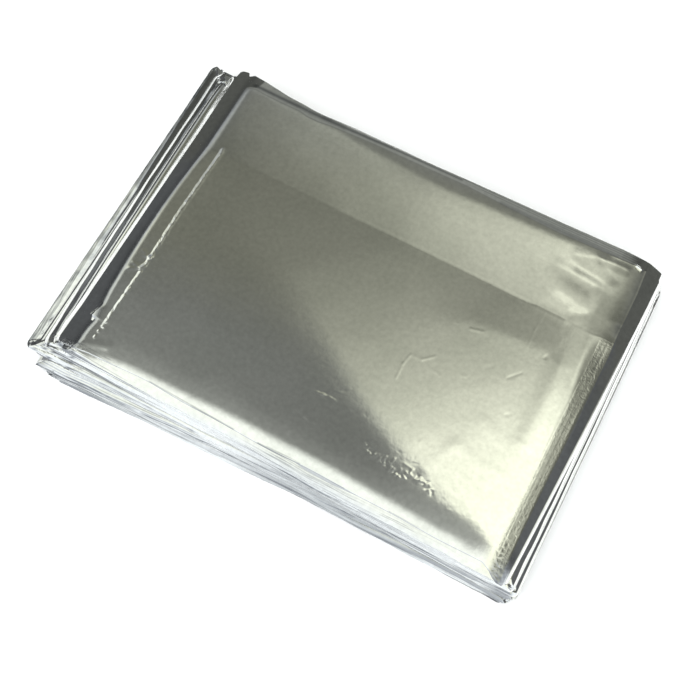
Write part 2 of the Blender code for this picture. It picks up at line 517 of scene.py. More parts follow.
# the lines of points along the sheet: layer, share of the way along it, and angle in the turn above
def stackStations():
    layer, share, angle = [], [], []
    shares = stationPlaces / stationPlaces[-1]
    for index in range(lastFold):
        run = shares if index % 2 == 0 else 1 - shares[::-1]
        layer.append(np.full(len(run), index))
        share.append(run)
        angle.append(np.full(len(run), np.nan))
        if index < topLayer:
            layer.append(np.full(len(turnAngles), index))
            share.append(np.ones(len(turnAngles)))
            angle.append(turnAngles)
    return [np.concatenate(column)[:, None] for column in (layer, share, angle)]


# the rows across the sheet: ply, share of the way across, and whether it is a folded edge
def stackRows():
    ply, across, out = [], [], []
    for index in range(blanket["plies"]):
        outer = index in (0, blanket["plies"] - 1)
        run = outsideRows if outer else insideRows
        run = run if index % 2 == 0 else run[::-1]
        ply.append(np.full(len(run), float(index)))
        across.append(run)
        out.append(np.zeros(len(run)))
        if index < blanket["plies"] - 1:
            ply.append([index + 0.5])
            across.append([run[-1]])
            out.append([1.0])
    return [np.concatenate(column)[None, :] for column in (ply, across, out)]


def stackEnd(fold, across):  # where a layer's flat run ends, short of the round of its fold
    free = (fold == 0) | (fold == lastFold)
    side = folds["side"][fold]
    inset = np.where(side < 0, stack["leftInset"], stack["rightInset"])
    return reach(fold, across) - side * (inset + np.where(free, stack["freeInset"], turnRadius))


# x and y on the layer's flat run or the round of its fold, z from its level and the ply's place in it
def makeStack():
    layer, share, angle = stackStations()
    ply, across, out = stackRows()
    turning = ~np.isnan(angle)
    swing = np.where(turning, angle, 0)
    side = folds["side"][layer + 1]
    facing = np.where(layer % 2 == 0, 1, -1)
    offset = ((ply + 0.5) / blanket["plies"] - 0.5) * blanket["plyStack"]
    depth = 0.5 - facing * offset / blanket["plyStack"]  # 0 at a layer's top ply, 1 at its lowest

    frontPair = np.floor((np.floor(ply) + 1) / 2).astype(int)
    backPair = np.floor(np.floor(ply) / 2).astype(int)
    scatter = rng.uniform(*stack["edgeScatter"], (2, blanket["plies"], lastFold + 1))
    turned = smooth(share)
    frontOut = mix(scatter[0][frontPair, layer], scatter[0][frontPair, layer + 1], turned)
    backOut = mix(scatter[1][backPair, layer], scatter[1][backPair, layer + 1], turned)

    x = mix(stackEnd(layer, across), stackEnd(layer + 1, across), share)
    front, back = layerEdges(layer, share)
    topShare = np.where(layer == topLayer, 1.0, 0)
    frontOut = frontOut - stack["topShear"] * (1 - depth) * topShare
    frontOut = frontOut + stack["edgeRipple"] * sineNoise(x + 37.0 * layer, 9.0 * frontPair, 40, 5, 6)
    backOut = backOut + stack["edgeRipple"] * sineNoise(x + 41.0 * layer, 9.0 * backPair, 40, 5, 6)
    run = np.minimum(share, 1 - share) * stack["flatRun"] + turnRadius
    toEnd = np.where(turning, turnRadius * (1 - np.cos(swing)), run)
    rounds = [stack["cornerRounds"].get(index, blanket["cornerRound"]) for index in range(lastFold)]
    inset = cornerInset(toEnd, np.array(rounds)[layer])
    front = front - frontOut + inset
    back = back + backOut - inset - backDip(layer, x)
    y = mix(front, back, across) + wander(layer, x, share) + out * stack["foldOut"] * (2 * across - 1)

    edgeDistance = np.minimum(across, 1 - across) * (back - front)
    fall, fade = stack["droop"]
    offset = offset * (1 + stack["puff"] * np.exp(-edgeDistance / fade))
    droop = fall * np.exp(-edgeDistance / fade)
    low = level(layer, x, y)
    middle = (level(layer + 1, x, y) - low) / 2
    radius = middle - side * offset
    z = np.where(turning, low + middle + radius * np.sin(swing), low + facing * offset) - droop
    x = np.where(turning, x + side * radius * np.cos(swing), x)
    lowest, lower = stack["underTopLow"]
    room = stack["underTop"] + lowest * depth * topShare + lower * (layer < topLayer)
    z = np.maximum(np.minimum(z, topSurface(x, y) - room), stack["overFloor"])

    most, fade = stack["edgeCrumple"]
    crumple = most * np.exp(-edgeDistance / fade)
    most, fade, endFade = stack["cornerCrumple"]
    crumple = crumple + most * np.exp(-edgeDistance / fade - toEnd / endFade)
    # painted shade near the long edges, fading inwards
    dull = yOn(stack["dulled"], x) * np.exp(-edgeDistance / stack["dullFade"])
    return [values[::-1] for values in (x, y, z, crumple, dull)]


stackPiece = gridPiece("film_stack", *makeStack(), film)
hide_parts("foil_blanket")

# the outer film of each layer where it shows: along the front, round the fold and along the back

rims = {  # millimetres
    "above": 0.085,  # how far it lies over the plies
    "thin": 0.20,  # height of its folded front and back edges
    "thinnest": 0.08,  # half of the least height
    "counts": (112, 11, 78, 42),  # points along the front, round a corner, along the fold and along the back
    "farEnd": (58.5, 60),  # where it ends away from its fold, and the top layer's
    "cornerShares": (0.03, 0.97),  # where the corners take the fold's reach from
    "cornerRounds": {2: 0.7, 6: 2.4},  # radii by layer, others as the blanket's
    "innerRound": 0.3,
    "edgeOut": (0.08, 0.32),  # how far the rounded edge stands out, at the front and on the fold
    "edgeStray": 0.10,
    "tread": 0.09,  # slope of a layer's front where it shows
    "treadDeep": 3.6,  # how far in that reaches, and the painted shade of the front
    "dullDeep": 3.4,
    "backFall": (0.10, 0.3, 0.5),  # slope along the back, a steeper slope at its edge and the width of that
    "frontPlaces": (-45, -27, -15, 3, 50),  # x at the left, clear from and to, in the middle and at the right
    "clearShare": 0.4,  # below the upper layers: its share of the way from left to middle
    "upperFrom": 4,
    "plyLines": 4,
    "lineSpace": 0.62,  # between the ply edges along the front
    "lineWidth": 0.11,
    "lineSlope": 0.5,
    "lineStray": 0.07,
    # painted shade along the ply edges
    "lineShade": 0.8,
    "markStray": 0.04,  # of the lines of painted shade
    "markFade": 3,
    # painted shade in flecks on the upper layers
    "fleckShade": 0.8,
    "fleckLevel": (0.42, 0.35),
    "fleckFrom": (-54, -4),  # on the upper layers, to the left of this x
    "bandStray": 0.10,  # of the bands on a fold's side
    "bandSoft": 0.3,
    "backShade": (0.25, 5, 30),  # painted shade, darker to the back on two folds: how much, from where, over what length
    "shadedLayers": (4, 6),
    "streak": 0.005,  # height of the long shallow streaks on the fold's side
    "crumpled": 0.07,  # height of the dents at the corners
    "dentLimit": 1.4,
    "dentLimits": {2: 0.2, 4: 0.5},  # by layer, others as above
    # painted shade is lighter at the corners by this share
    "cornerLessShade": 0.7,
    # painted shade along the back
    "backEdgeShade": 0.2,
    "tuck": 0.9,  # how far it turns in under its edge
    "underTop": 0.16,
    "overFloor": 0.03,
}
# along the front: how steeply the edge falls and over what width, how strongly the ply edges show and how
# much painted shade the film has, each at the left, in the middle and at the right, and how far the edge
# stands out
rimColumns = ("layer", "steep", "steepWidth", "linesLeft", "linesMiddle", "linesRight",
              "dullLeft", "dullMiddle", "dullRight", "out")
rimRows = [
    (9, 0.25, 0.4, 0.08, 0.45, 0.05, 0.00, 0.10, 0.00, 0.00),
    (8, 0.25, 0.4, 0.12, 0.40, 0.05, 0.00, 0.10, 0.00, -0.10),
    (7, 0.25, 0.4, 0.18, 0.40, 0.05, 0.00, 0.12, 0.00, 0.10),
    (6, 0.30, 0.4, 0.20, 0.40, 0.05, 0.00, 0.15, 0.00, 0.05),
    (5, 0.30, 0.4, 0.22, 0.45, 0.05, 0.02, 0.20, 0.00, 0.00),
    (4, 0.40, 0.4, 0.28, 0.45, 0.05, 0.04, 0.28, 0.50, 0.10),
    (3, 0.45, 0.5, 0.45, 0.40, 0.00, 0.04, 0.35, 0.64, 0.10),
    (2, 0.50, 0.5, 0.50, 0.40, 0.00, 0.06, 0.38, 0.66, 0.10),
    (1, 0.50, 0.5, 0.50, 0.30, 0.00, 0.10, 0.52, 0.66, 0.10),
    (0, 0.50, 0.5, 0.45, 0.25, 0.00, 0.25, 0.66, 0.60, 0.00),
]
# bands on a fold's side, from within to the edge: how far each reaches in at its front, middle and back, its
# slope and how much painted shade it has
sideColumns = ("layer", "front", "middle", "back", "slope", "dull")
sideRows = [
    (8, 9, 9, 9, 0.05, 0.3), (8, 1.0, 2.0, 2.0, 0.62, 0.0),
    (7, 9, 9, 9, 0.02, 0.0), (7, 1.5, 1.3, 0.3, 0.38, 0.0), (7, 0.45, 0.7, 1.1, 1.05, 0.0),
    (6, 9, 9, 9, 0.09, 0.6), (6, 1.9, 1.8, 1.4, 0.34, 0.1), (6, 0.75, 0.7, 0.6, 0.70, 0.0),
    (5, 9, 9, 9, 0.02, 0.0), (5, 1.5, 1.2, 0.3, 0.38, 0.0), (5, 0.2, 0.45, 0.9, 1.05, 0.0),
    (4, 9, 9, 9, 0.02, 0.0), (4, 4.0, 3.2, 2.4, 0.34, 0.1), (4, 3.5, 1.75, 0.3, 0.09, 0.0),
    (4, 1.6, 0.9, 0.5, 0.06, 0.66),
    (3, 9, 9, 9, 0.05, 0.1), (3, 1.1, 1.1, 1.1, 0.90, 0.0), (3, 0.3, 0.25, 0.35, 0.90, 0.25),
    (2, 9, 9, 9, 0.10, 0.4), (2, 0.9, 0.9, 0.9, 0.50, 0.5),
    (1, 9, 9, 9, 0.10, 0.0), (1, 0.6, 0.6, 0.6, 0.80, 0.0),
    (0, 9, 9, 9, 0.10, 0.5), (0, 0.8, 0.8, 0.8, 0.40, 0.6),
]
# lines of painted shade along the front: the layer, both ends as x and distance from the edge, half width and
# how dark
lineColumns = ("layer", "fromX", "fromDeep", "toX", "toDeep", "width", "dark")
frontShadeLines = [
    (7, -66, 0.12, -52, 0.22, 0.15, 1.0), (6, -60, 1.30, -38, 1.02, 0.13, 0.9),
    (9, -64, 0.80, -40, 0.30, 0.10, 0.5),
    (6, -66, 0.10, -57, 0.10, 0.14, 0.8), (4, -63, 1.72, -30, 1.08, 0.15, 0.95),
    (4, -62, 1.10, -1, 0.95, 0.12, 0.5), (4, -60, 0.33, -20, 0.15, 0.16, 0.8),
    (2, -60, 0.90, -38, 0.48, 0.20, 0.85), (2, -38, 0.48, -9, 0.15, 0.18, 0.75),
    (2, -52, 1.30, -30, 1.40, 0.12, 0.5), (0, -40, 0.23, -9, 0.84, 0.20, 0.6),
    (5, -15, 0.10, 0, 0.15, 0.15, 0.8), (6, -4, 0.30, 20, 0.06, 0.15, 0.95),
    (3, -11, 0.35, 6, 0.52, 0.15, 0.6), (2, 10, 0.50, 24, 0.50, 0.15, 0.5),
    (9, -4, 0.87, 24, 1.42, 0.11, 0.45), (9, -2, 1.40, 22, 1.75, 0.09, 0.35),
    (7, -6, 0.66, 14, 0.30, 0.12, 0.5), (9, 10, 0.41, 30, 0.45, 0.10, 0.4),
    (9, 27, 1.10, 39, 1.15, 0.10, 0.45), (9, 28, 1.50, 37, 1.52, 0.09, 0.4),
    (6, 22, 0.20, 36, 0.20, 0.12, 0.5), (4, 20, 0.12, 46, 0.10, 0.15, 0.6),
    (2, -73, 0.90, -63.4, 0.90, 1.2, 0.62), (2, -64.5, 0.15, -50, 0.15, 0.15, 0.7),
    (9, -63, 0.03, -50, 0.03, 0.13, 0.7), (8, -63, 0.13, -50, 0.13, 0.18, 0.85),
    (8, -67, 0.60, -56, 0.60, 0.45, 0.6), (9, -63, 0.90, -57, 0.90, 0.5, 0.6),
    (5, 47, 0.05, 68, 0.25, 0.22, 0.8), (5, 57, 0.50, 68, 0.50, 0.30, 0.7),
]
rimDistances = np.concatenate([[8, 6.4, 5.2, 4.4, 3.7, 3.2], np.arange(28, -1, -1) / 10])
rimAngles = np.radians([62, 32, 0, -32, -62])


# a line round a layer, set in by a distance: straight along the front, a quarter round, the fold's bow, a
# quarter round and straight along the back; with the way it faces at each point
def rimLine(layer, deep, radius):
    side, counts = folds["side"][layer], rims["counts"]
    farX = -side * rims["farEnd"][int(layer == topLayer)]
    frontEnd, backEnd = [reach(layer, share) - side * (deep + radius) for share in rims["cornerShares"]]
    frontX, backX = np.linspace(farX, frontEnd, counts[0]), np.linspace(backEnd, farX, counts[3])
    frontShare, backShare = alongShare(side, frontX), alongShare(side, backX)
    frontY = layerEdges(layer, frontShare)[0] + wander(layer, frontX, frontShare) + deep
    backY = layerEdges(layer, backShare)[1] + wander(layer, backX, backShare) - deep - backDip(layer, backX)
    sideY = np.linspace(frontY[-1] + radius, backY[0] - radius, counts[2])
    sideX = reach(layer, acrossShare(sideY)) - side * deep
    turn, way = np.linspace(0, math.pi / 2, counts[1] + 2)[1:-1], np.linspace(0, 1, counts[1])
    sine, cosine = np.sin(turn), np.cos(turn)
    frontTurnX = mix(frontEnd, sideX[0] - side * radius, way) + side * radius * sine
    backTurnX = mix(sideX[-1] - side * radius, backEnd, way) + side * radius * cosine
    frontTurnY, backTurnY = frontY[-1] + radius * (1 - cosine), backY[0] - radius * (1 - sine)
    x = np.concatenate([frontX, frontTurnX, sideX, backTurnX, backX])
    y = np.concatenate([frontY, frontTurnY, sideY, backTurnY, backY])
    facingX = np.concatenate([0 * frontX, side * sine, side + 0 * sideX, side * cosine, 0 * backX])
    facingY = np.concatenate([-1 + 0 * frontX, -cosine, 0 * sideX, sine, 1 + 0 * backX])
    kept = counts[0] if layer == topLayer else len(x)
    return [np.stack(pair)[:, :kept, None] for pair in ((x, y), (facingX, facingY))]


def alongShare(side, x):  # share of the way along a layer from the fold it starts at
    return np.clip((1 - side * x / (stack["flatRun"] / 2 + 1)) / 2, 0, 1)


# a row's value at the left, in the middle and at the right; the upper layers are clear between
def alongFront(row, name, x):
    left, middle, right = [row[name + place] for place in ("Left", "Middle", "Right")]
    clear = 0.0 if row["layer"] >= rims["upperFrom"] else mix(left, middle, rims["clearShare"])
    return np.interp(x, rims["frontPlaces"], (left, clear, clear, middle, right))


def darkLine(mark, x, distance):  # painted shade: a bell across a straight line along the front, faded at its ends
    length = mark["toX"] - mark["fromX"]
    share = (x - mark["fromX"]) / length
    place = mix(mark["fromDeep"], mark["toDeep"], np.clip(share, 0, 1))
    place = place + rims["markStray"] * sineNoise(x, 0, 30, 6, 4)
    ends = smooth((0.5 - np.abs(share - 0.5)) * length / rims["markFade"])
    waver = 0.85 + 0.25 * sineNoise(x, 5.0, 20, 2, 6)
    return ends * bump(distance - place, mark["width"]) * mark["dark"] * waver


# slopes along the front: an even tread, a steeper edge and the ply edges, which come and go; and the painted
# shade
def frontFall(row, x, distance):
    slope = rims["tread"] * smooth(rims["treadDeep"] - distance)
    slope = slope + row["steep"] * bump(distance, row["steepWidth"])
    waver = 0.3 * sineNoise(x, distance * 14, 90, 14, 8) * eased(x, 50, -15)
    dull = alongFront(row, "dull", x) * smooth(rims["dullDeep"] - distance) * (1 + waver)
    for index in range(rims["plyLines"]):
        place = (0.3 + index) * rims["lineSpace"] + rims["lineStray"] * sineNoise(x, 20.0 * index, 90, 18, 4)
        strength = np.clip(0.6 + 0.7 * sineNoise(x, 30.0 * index, 70, 9, 5), 0, 1.2)
        strength = strength * bump(distance - place, rims["lineWidth"]) * alongFront(row, "lines", x)
        slope, dull = slope + strength * rims["lineSlope"], dull + strength * rims["lineShade"]
    for mark in named(lineColumns, frontShadeLines):
        if mark["layer"] == row["layer"]:
            dull = dull + darkLine(mark, x, distance)
    flecks = eased(sineNoise(x, distance, 3, 0.8, 10), *rims["fleckLevel"]) * eased(x, *rims["fleckFrom"])
    shown = rims["fleckShade"] * (row["layer"] >= rims["upperFrom"])
    return slope, np.clip(dull + shown * flecks, 0, 1)


# slopes on the fold's side, each band laid over those before it; and the painted shade
def sideFall(layer, x, y, distance):
    across = acrossShare(y)
    slope, dull = 0 * (y + distance), 0 * (y + distance)
    for band in named(sideColumns, sideRows):
        if band["layer"] == layer:
            width = bowed(band["front"], band["middle"], band["back"], across)
            width = width + rims["bandStray"] * sineNoise(y, 0, 30, 6, 4)
            share = smooth((width - distance) / rims["bandSoft"] + 0.5)
            slope, dull = mix(slope, band["slope"], share), mix(dull, band["dull"], share)
    if layer in rims["shadedLayers"]:
        most, start, length = rims["backShade"]
        dull = dull + most * eased(y, start, length) * smooth(2.5 - distance)
    speckle = np.clip(0.8 + 0.35 * sineNoise(x * 6, y, 12, 1.5, 12), 0, 1.5)
    return slope, np.clip(dull * speckle, 0, 1)


# height from the layer's level, less the slopes summed from within to the edge; the edge is a half ellipse
def rimSkin(row):
    layer = int(row["layer"])
    outer, normal = rimLine(layer, 0, rims["cornerRounds"].get(layer, blanket["cornerRound"]))
    inner = rimLine(layer, rimDistances[0], rims["innerRound"])[0]
    onSide, onFront = smooth(np.abs(normal[0])), smooth(-normal[1])
    corner = smooth(2 * np.abs(normal[0] * normal[1]))
    edgeOut = mix(*rims["edgeOut"], onSide)
    stray = rims["edgeStray"] * sineNoise(outer[0], outer[1], 50, 9, 6) * (1 - onSide)
    outer = outer + normal * (stray + row["out"] * onFront - edgeOut)
    distance = rimDistances[None, :]
    inward = distance / rimDistances[0]
    topX, topY = mix(outer[0], inner[0], inward), mix(outer[1], inner[1], inward)

    even, steep, width = rims["backFall"]
    backSlope = even * smooth(2.5 - distance) + steep * bump(distance, width)
    frontSlope, frontShade = frontFall(row, topX, distance)
    sideSlope, sideShade = sideFall(layer, topX, topY, distance)
    slope = mix(mix(backSlope, frontSlope, onFront), sideSlope, onSide)
    # painted shade from the back, the front and the side, with less of it at the corners
    dull = mix(mix(rims["backEdgeShade"], frontShade, onFront), sideShade, onSide)
    dull = dull * (1 - rims["cornerLessShade"] * corner)
    steps = -np.diff(rimDistances, prepend=rimDistances[0])[None, :]
    fall = np.cumsum((slope + np.roll(slope, 1, axis=1)) / 2 * steps, axis=1)
    base = blanket["plyStack"] / 2 + rims["above"]
    streaks = rims["streak"] * sineNoise(topX * 1.2, topY, 16, 3, 8) * onSide * eased(distance, 6, -2)
    ends = 0.6 * corner + onSide * eased(topY, 38, 4) + 1.3 * onFront * eased(topX, -54, -5)
    ends = np.clip(ends, 0, rims["dentLimits"].get(layer, rims["dentLimit"]))
    dents = rims["crumpled"] * sineNoise(topX, topY, 5, 1.1, 12) * ends * eased(distance, 3.5, -2)
    topZ = level(layer, topX, topY) + base - fall + streaks + dents

    edge = topZ[:, -1:]
    low = level(layer, outer[0], outer[1]) - pitch - base
    half = np.maximum(mix(rims["thin"], edge - low, onSide) / 2, rims["thinnest"])
    half = np.minimum(half, edge / 2)
    edgeX, edgeY = [outer[axis] + normal[axis] * edgeOut * np.cos(rimAngles) for axis in (0, 1)]
    edgeZ = edge - half + half * np.sin(rimAngles)
    under = outer - normal * rims["tuck"]
    x = np.concatenate([topX, edgeX, under[0]], axis=1)
    y = np.concatenate([topY, edgeY, under[1]], axis=1)
    z = np.concatenate([topZ, edgeZ, edge - 2 * half], axis=1)
    z = np.maximum(np.minimum(z, topSurface(x, y) - rims["underTop"]), rims["overFloor"])
    crumple = np.clip(0.04 + 0.5 * ends[:, -1:], 0, 1) * np.ones_like(x)
    dull = np.concatenate([dull, np.repeat(dull[:, -1:], len(rimAngles) + 1, axis=1)], axis=1)
    way = -int(folds["side"][layer])  # so that its faces point out
    return [values[::way] for values in (x, y, z, crumple, dull)]


def makeRims():  # one skin for each layer
    return [rimSkin(row) for row in named(rimColumns, rimRows)]


def joinedPiece(name, skins, material):  # several grids in one piece
    whole = [np.concatenate(part) for part in zip(*skins)]
    breaks = np.cumsum([len(skin[0]) for skin in skins])[:-1]
    return gridPiece(name, *whole, material, breaks)


rimPiece = joinedPiece("film_rims", makeRims(), film)
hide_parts("foil_blanket")

# the top film's own sheet

topCounts = {  # mesh lines between its guides
    # left slope, left crease, margin, flap's edge, flap in three parts, crinkled strip, right slope
    "along": (12, 12, 6, 9, 133, 114, 19, 26, 10),
    "across": (22, 10, 46, 86, 20, 40, 26),  # from front to back
    "round": 13,
}
flatGuides = (14, 46, 54.9)  # x of the lines that part the flap
acrossGuides = (-42, -37, -34, -22, 9, 20.5, 41.8, 44.8)
reachSpan = (-44.3, 44.8)  # the front and back that the reach of its ends is taken between
guideOffsets = {
    "crease": (-1.1, 0.8),
    "cut": (-0.85, 0.85),
    "rightCrease": 0.1,
    "outer": -0.95,
    "backCrease": -0.4,
}
markColumns = ("fromX", "fromY", "toX", "toY", "width", "height")
marks = [
    # the hook
    (16.3, -12.2, 16.1, -8.3, 0.24, 0.016), (16.1, -8.3, 16.7, -5.3, 0.24, 0.016),
    (16.7, -5.3, 19.7, -5.2, 0.22, 0.012),
    (19.7, -5.2, 22.1, -3.0, 0.24, 0.018), (23.0, -6.3, 25.4, -6.7, 0.24, 0.012),
    (29.8, -4.3, 31.0, -4.0, 0.25, 0.008),
    # dents
    (39.9, 0.4, 42.3, 3.2, 0.22, -0.014), (45.6, 9.5, 46.0, 9.9, 0.25, -0.02),
    (43.6, -8.0, 44.3, -7.5, 0.4, -0.008),
    (26.3, 7.4, 29.5, 8.2, 0.24, 0.016), (34.5, 0.5, 35.5, 1.5, 0.5, -0.008),
    (40.4, 14.8, 40.7, 19.8, 0.2, 0.007), (40.7, 10.3, 40.4, 14.8, 0.2, 0.007),
    # folds at the back right
    (38, 33.0, 48, 32.2, 2.0, 0.042), (42.0, 27.8, 47.5, 27.0, 2.6, -0.066),
    (41, 38.2, 47, 40.0, 1.4, 0.026), (47, 40.0, 53.6, 40.2, 1.2, 0.052), (43, 35.3, 52, 34.4, 1.4, -0.026),
    (47.5, 38.9, 52.5, 36.4, 0.9, 0.018), (46.5, 22.9, 49, 24.0, 1.1, 0.022),
    (38.5, 21.7, 45.5, 21.3, 1.6, 0.030),
    (55.5, 42.7, 56.9, 42.4, 0.3, 0.20),
    # soft facets at the front right
    (32.5, -28.5, 36.5, -20.5, 1.8, 0.014), (36.5, -20.5, 52, -22.5, 1.6, 0.012),
    (40, -12, 53, -17.5, 2.0, 0.014), (26, 9.5, 50, 12.5, 2.8, 0.026), (50.6, -12, 49.9, 9, 2.6, 0.060),
    # creases in the shadow
    (25.3, -29.9, 24.9, -32.2, 0.20, 0.010), (27.8, -29.9, 30.2, -30.2, 0.20, 0.005),
    (30.2, -30.2, 29.8, -31.9, 0.20, 0.012),
    (0.3, -24.6, 3.0, -24.2, 0.20, 0.013), (3.0, -24.2, 5.8, -24.1, 0.20, 0.013),
    (2.6, -24.7, 3.6, -23.6, 0.18, 0.012), (2.0, -31.2, 3.4, -31.6, 0.20, 0.010),
    # puckers on the flap's left edge
    (-53.2, -13.6, -55.6, -12.6, 0.30, 0.05), (-53.2, -13.6, -55.0, -13.7, 0.25, 0.04),
    (-53.9, -17.1, -56.0, -16.6, 0.30, 0.04),
    (-53.9, -17.1, -56.5, -18.6, 0.30, 0.04), (-53.7, -17.2, -53.5, -16.2, 0.40, 0.06),
    (-53.3, -13.4, -52.9, -13.0, 0.40, 0.06),
    (-53.0, 21.4, -52.8, 21.4, 0.3, 0.05), (-53.9, -36.3, -53.9, -36.2, 0.35, 0.05),
    (-53.9, -38.1, -53.9, -37.7, 0.35, 0.05),
    # the fold at the front left
    (-56.6, -40.7, -50.0, -38.7, 1.1, 0.042),
]
# painted shade: dark lines near its front and back edges, where the gaps to the plies under it fall in shade;
# the last column is how dark
topShadeLines = [
    (-5.0, -42.05, 18, -41.95, 0.20, 0.95), (-2.5, -41.6, 6, -41.55, 0.12, 0.5),
    (-36, -41.3, -24, -41.6, 0.14, 0.6), (-24, -41.6, -12, -41.9, 0.16, 0.8),
    (-56, -41.1, -46, -41.2, 0.10, 0.45), (-54, -41.7, -45, -41.9, 0.10, 0.4),
    (-60, -41.6, -56, -41.2, 0.16, 0.5), (30, -41.6, 38, -41.6, 0.09, 0.4),
    (-55.5, 42.9, -44, 42.8, 0.62, 0.72), (-44, 42.8, -28, 42.9, 0.70, 0.72),
    (-28, 42.9, -14, 43.4, 0.50, 0.68), (-14, 43.4, 6, 43.7, 0.34, 0.6), (18, 42.2, 50, 42.5, 0.60, 0.35),
    (4, 44.1, 55, 44.6, 0.12, 0.45), (12, 43.5, 56, 43.9, 0.10, 0.4), (30, 43.0, 56, 43.2, 0.12, 0.4),
    (-40, 43.3, 0, 43.9, 0.12, 0.3),
]
trails = {  # small broken creases strewn along lines: points, how many, their scatter and height
    "sparkle": (
        [(17.8, -30), (20, -31.4), (24.7, -32.3), (28.5, -33.4), (31, -32), (34, -31.9), (36.7, -33.2)],
        60, 0.7, 0.013),
    "crumple": ([(0.2, -24.6), (6.2, -24.1)], 16, 0.6, 0.012),
    "specks": ([(-0.5, -30.2), (2.5, -31.3), (5, -32.3), (6.2, -21.0)], 10, 0.5, 0.012),
    "band": ([(56.6, -43), (57.6, -28)], 40, 0.9, 0.014),
    "dings": ([(-50, -30), (50, -30), (-50, 0), (50, 0), (-50, 28), (50, 30)], 460, 16, 0.0032),
}
trailRanges = {"length": (0.3, 1.3), "height": (0.5, 1.2), "width": (0.14, 0.22)}  # height as a share


# each is a ridge or trough on a straight line, its height falling off like a bell
def addMarks(x, y, rows, join=np.add):
    height = np.zeros_like(x)
    for mark in named(markColumns, rows):
        runX, runY = mark["toX"] - mark["fromX"], mark["toY"] - mark["fromY"]
        share = ((x - mark["fromX"]) * runX + (y - mark["fromY"]) * runY) / (runX ** 2 + runY ** 2)
        share = np.clip(share, 0, 1)
        away = np.hypot(x - mark["fromX"] - share * runX, y - mark["fromY"] - share * runY)
        height = join(height, mark["height"] * bump(away, mark["width"]))
    return height


def trailMarks(points, count, scatter, height):  # short creases at random places and turns along a line
    points = np.array(points)
    place = rng.uniform(0, len(points) - 1, count)
    x = np.interp(place, range(len(points)), points[:, 0]) + rng.normal(0, scatter / 2, count)
    y = np.interp(place, range(len(points)), points[:, 1]) + rng.normal(0, scatter / 2, count)
    turn, length = rng.uniform(0, math.pi, count), rng.uniform(*trailRanges["length"], count)
    endX, endY = x + length * np.cos(turn), y + length * np.sin(turn)
    tall = height * rng.choice([-1, 1], count) * rng.uniform(*trailRanges["height"], count)
    return np.stack([x, y, endX, endY, rng.uniform(*trailRanges["width"], count), tall], axis=1)


def spaced(guides, counts):  # lines evenly between each guide and the next, and the last guide
    steps = zip(guides[:-1], guides[1:], counts)
    between = [mix(low, high, (np.arange(count) / count)[:, None]) for low, high, count in steps]
    return np.concatenate(between + [guides[-1]])


# columns follow the side creases, rows follow the flap's edge and the front and back creases
def topGrid():
    nominal = spaced(np.array(acrossGuides)[:, None, None], topCounts["across"]).T
    share = (nominal - reachSpan[0]) / (reachSpan[1] - reachSpan[0])
    outer = reach(topLayer, share) + top["rightReach"]
    crease, cut = xOn(leftCreaseLine, nominal), xOn(cutLine, nominal)
    guides = [reach(lastFold, share)]
    guides += [crease + offset for offset in guideOffsets["crease"]]
    guides += [cut + offset for offset in guideOffsets["cut"]]
    guides += [np.full_like(nominal, place) for place in flatGuides]
    guides += [xOn(rightCreaseLine, nominal) + guideOffsets["rightCrease"], outer + guideOffsets["outer"]]
    x = spaced(guides, topCounts["along"])
    rightRound, leftRound = top["cornerRounds"]
    corner = cornerInset(outer - x, rightRound) + cornerInset(x - guides[0], leftRound)
    frontEdge = yOn(frontLine, x) + top["frontStray"] * np.sin(x / 5.1) * np.sin(x / 13 + 1) + corner
    lines = [frontEdge] + [np.full_like(x, place) for place in acrossGuides[1:6]]
    lines += [yOn(backCreaseLine, x) + guideOffsets["backCrease"], yOn(backLine, x) - corner]
    rows, start = [], 0
    for low, high, count in zip(lines[:-1], lines[1:], topCounts["across"]):
        part = slice(start, start + count)
        rows.append(mix(low[:, part], high[:, part], (np.arange(count) / count)[None, :]))
        start += count
    rows.append(lines[-1][:, -1:])
    return x, np.concatenate(rows, axis=1), outer


# ridges along the flap's edges, then the marks, the crinkled strip and slow unevenness
def topRelief(x, y):
    tall, wide = top["cutRidge"]
    rough = (0.95 + 0.25 * sineNoise(x, y, 3, 0.8, 8)) * mix(0.85, 0.95, eased(y, -14, 10))
    height = tall * within(y, *top["cutSpan"]) * rough * past(1 - np.abs(x - xOn(cutLine, y)) / wide)
    tall, wide = top["lineRidge"]
    height += tall * within(x, -40, 58.5, 30, 1) * bump(y - top["flapBack"], wide)
    tall, wide = top["rightRidge"]
    height += tall * eased(y, 17, 4) * bump(x - xOn(rightCreaseLine, y), wide)
    height += addMarks(x, y, marks)
    for trail in trails.values():
        height += addMarks(x, y, trailMarks(*trail))
    strip = within(x, *top["stripSpan"]) * eased(y, *top["stripBack"])
    long, short = top["stripHeights"]
    height += strip * long * sineNoise(x, y * 0.05, 1.3, 0.45, 12)
    height += strip * short * sineNoise(x * 0.2, y, 2.5, 0.9, 10)
    tall, longest, shortest = top["soft"]
    for length in (longest, 40, 26, shortest):
        height += tall * length / longest * sineNoise(x, y, length, length * 0.8, 3)
    return height


# the round over the right fold, steep at once, down to the layer below, then a tuck
def addRound(x, y, z, outer):
    last, radius = x[-1], top["cornerRounds"][0]
    middle = z[-1] - top["roundHalf"]
    angles = np.radians(np.linspace(78, -90, topCounts["round"]))[:, None]
    roundX = last + (outer[0] - last) * np.cos(angles) ** 2
    roundZ = middle + top["roundHalf"] * np.sin(angles)
    inset = cornerInset(outer[0] - roundX, radius) - cornerInset(outer[0] - last, radius)
    fromMiddle = y[-1] - (y[-1][0] + y[-1][-1]) / 2
    roundY = y[-1] - inset * np.sign(fromMiddle) * np.clip(np.abs(fromMiddle) / 40, 0, 1) ** 8
    parts = ((x, roundX, last[None] - top["underTuck"]), (y, roundY, roundY[-1:]), (z, roundZ, roundZ[-1:]))
    return [np.concatenate(part) for part in parts]


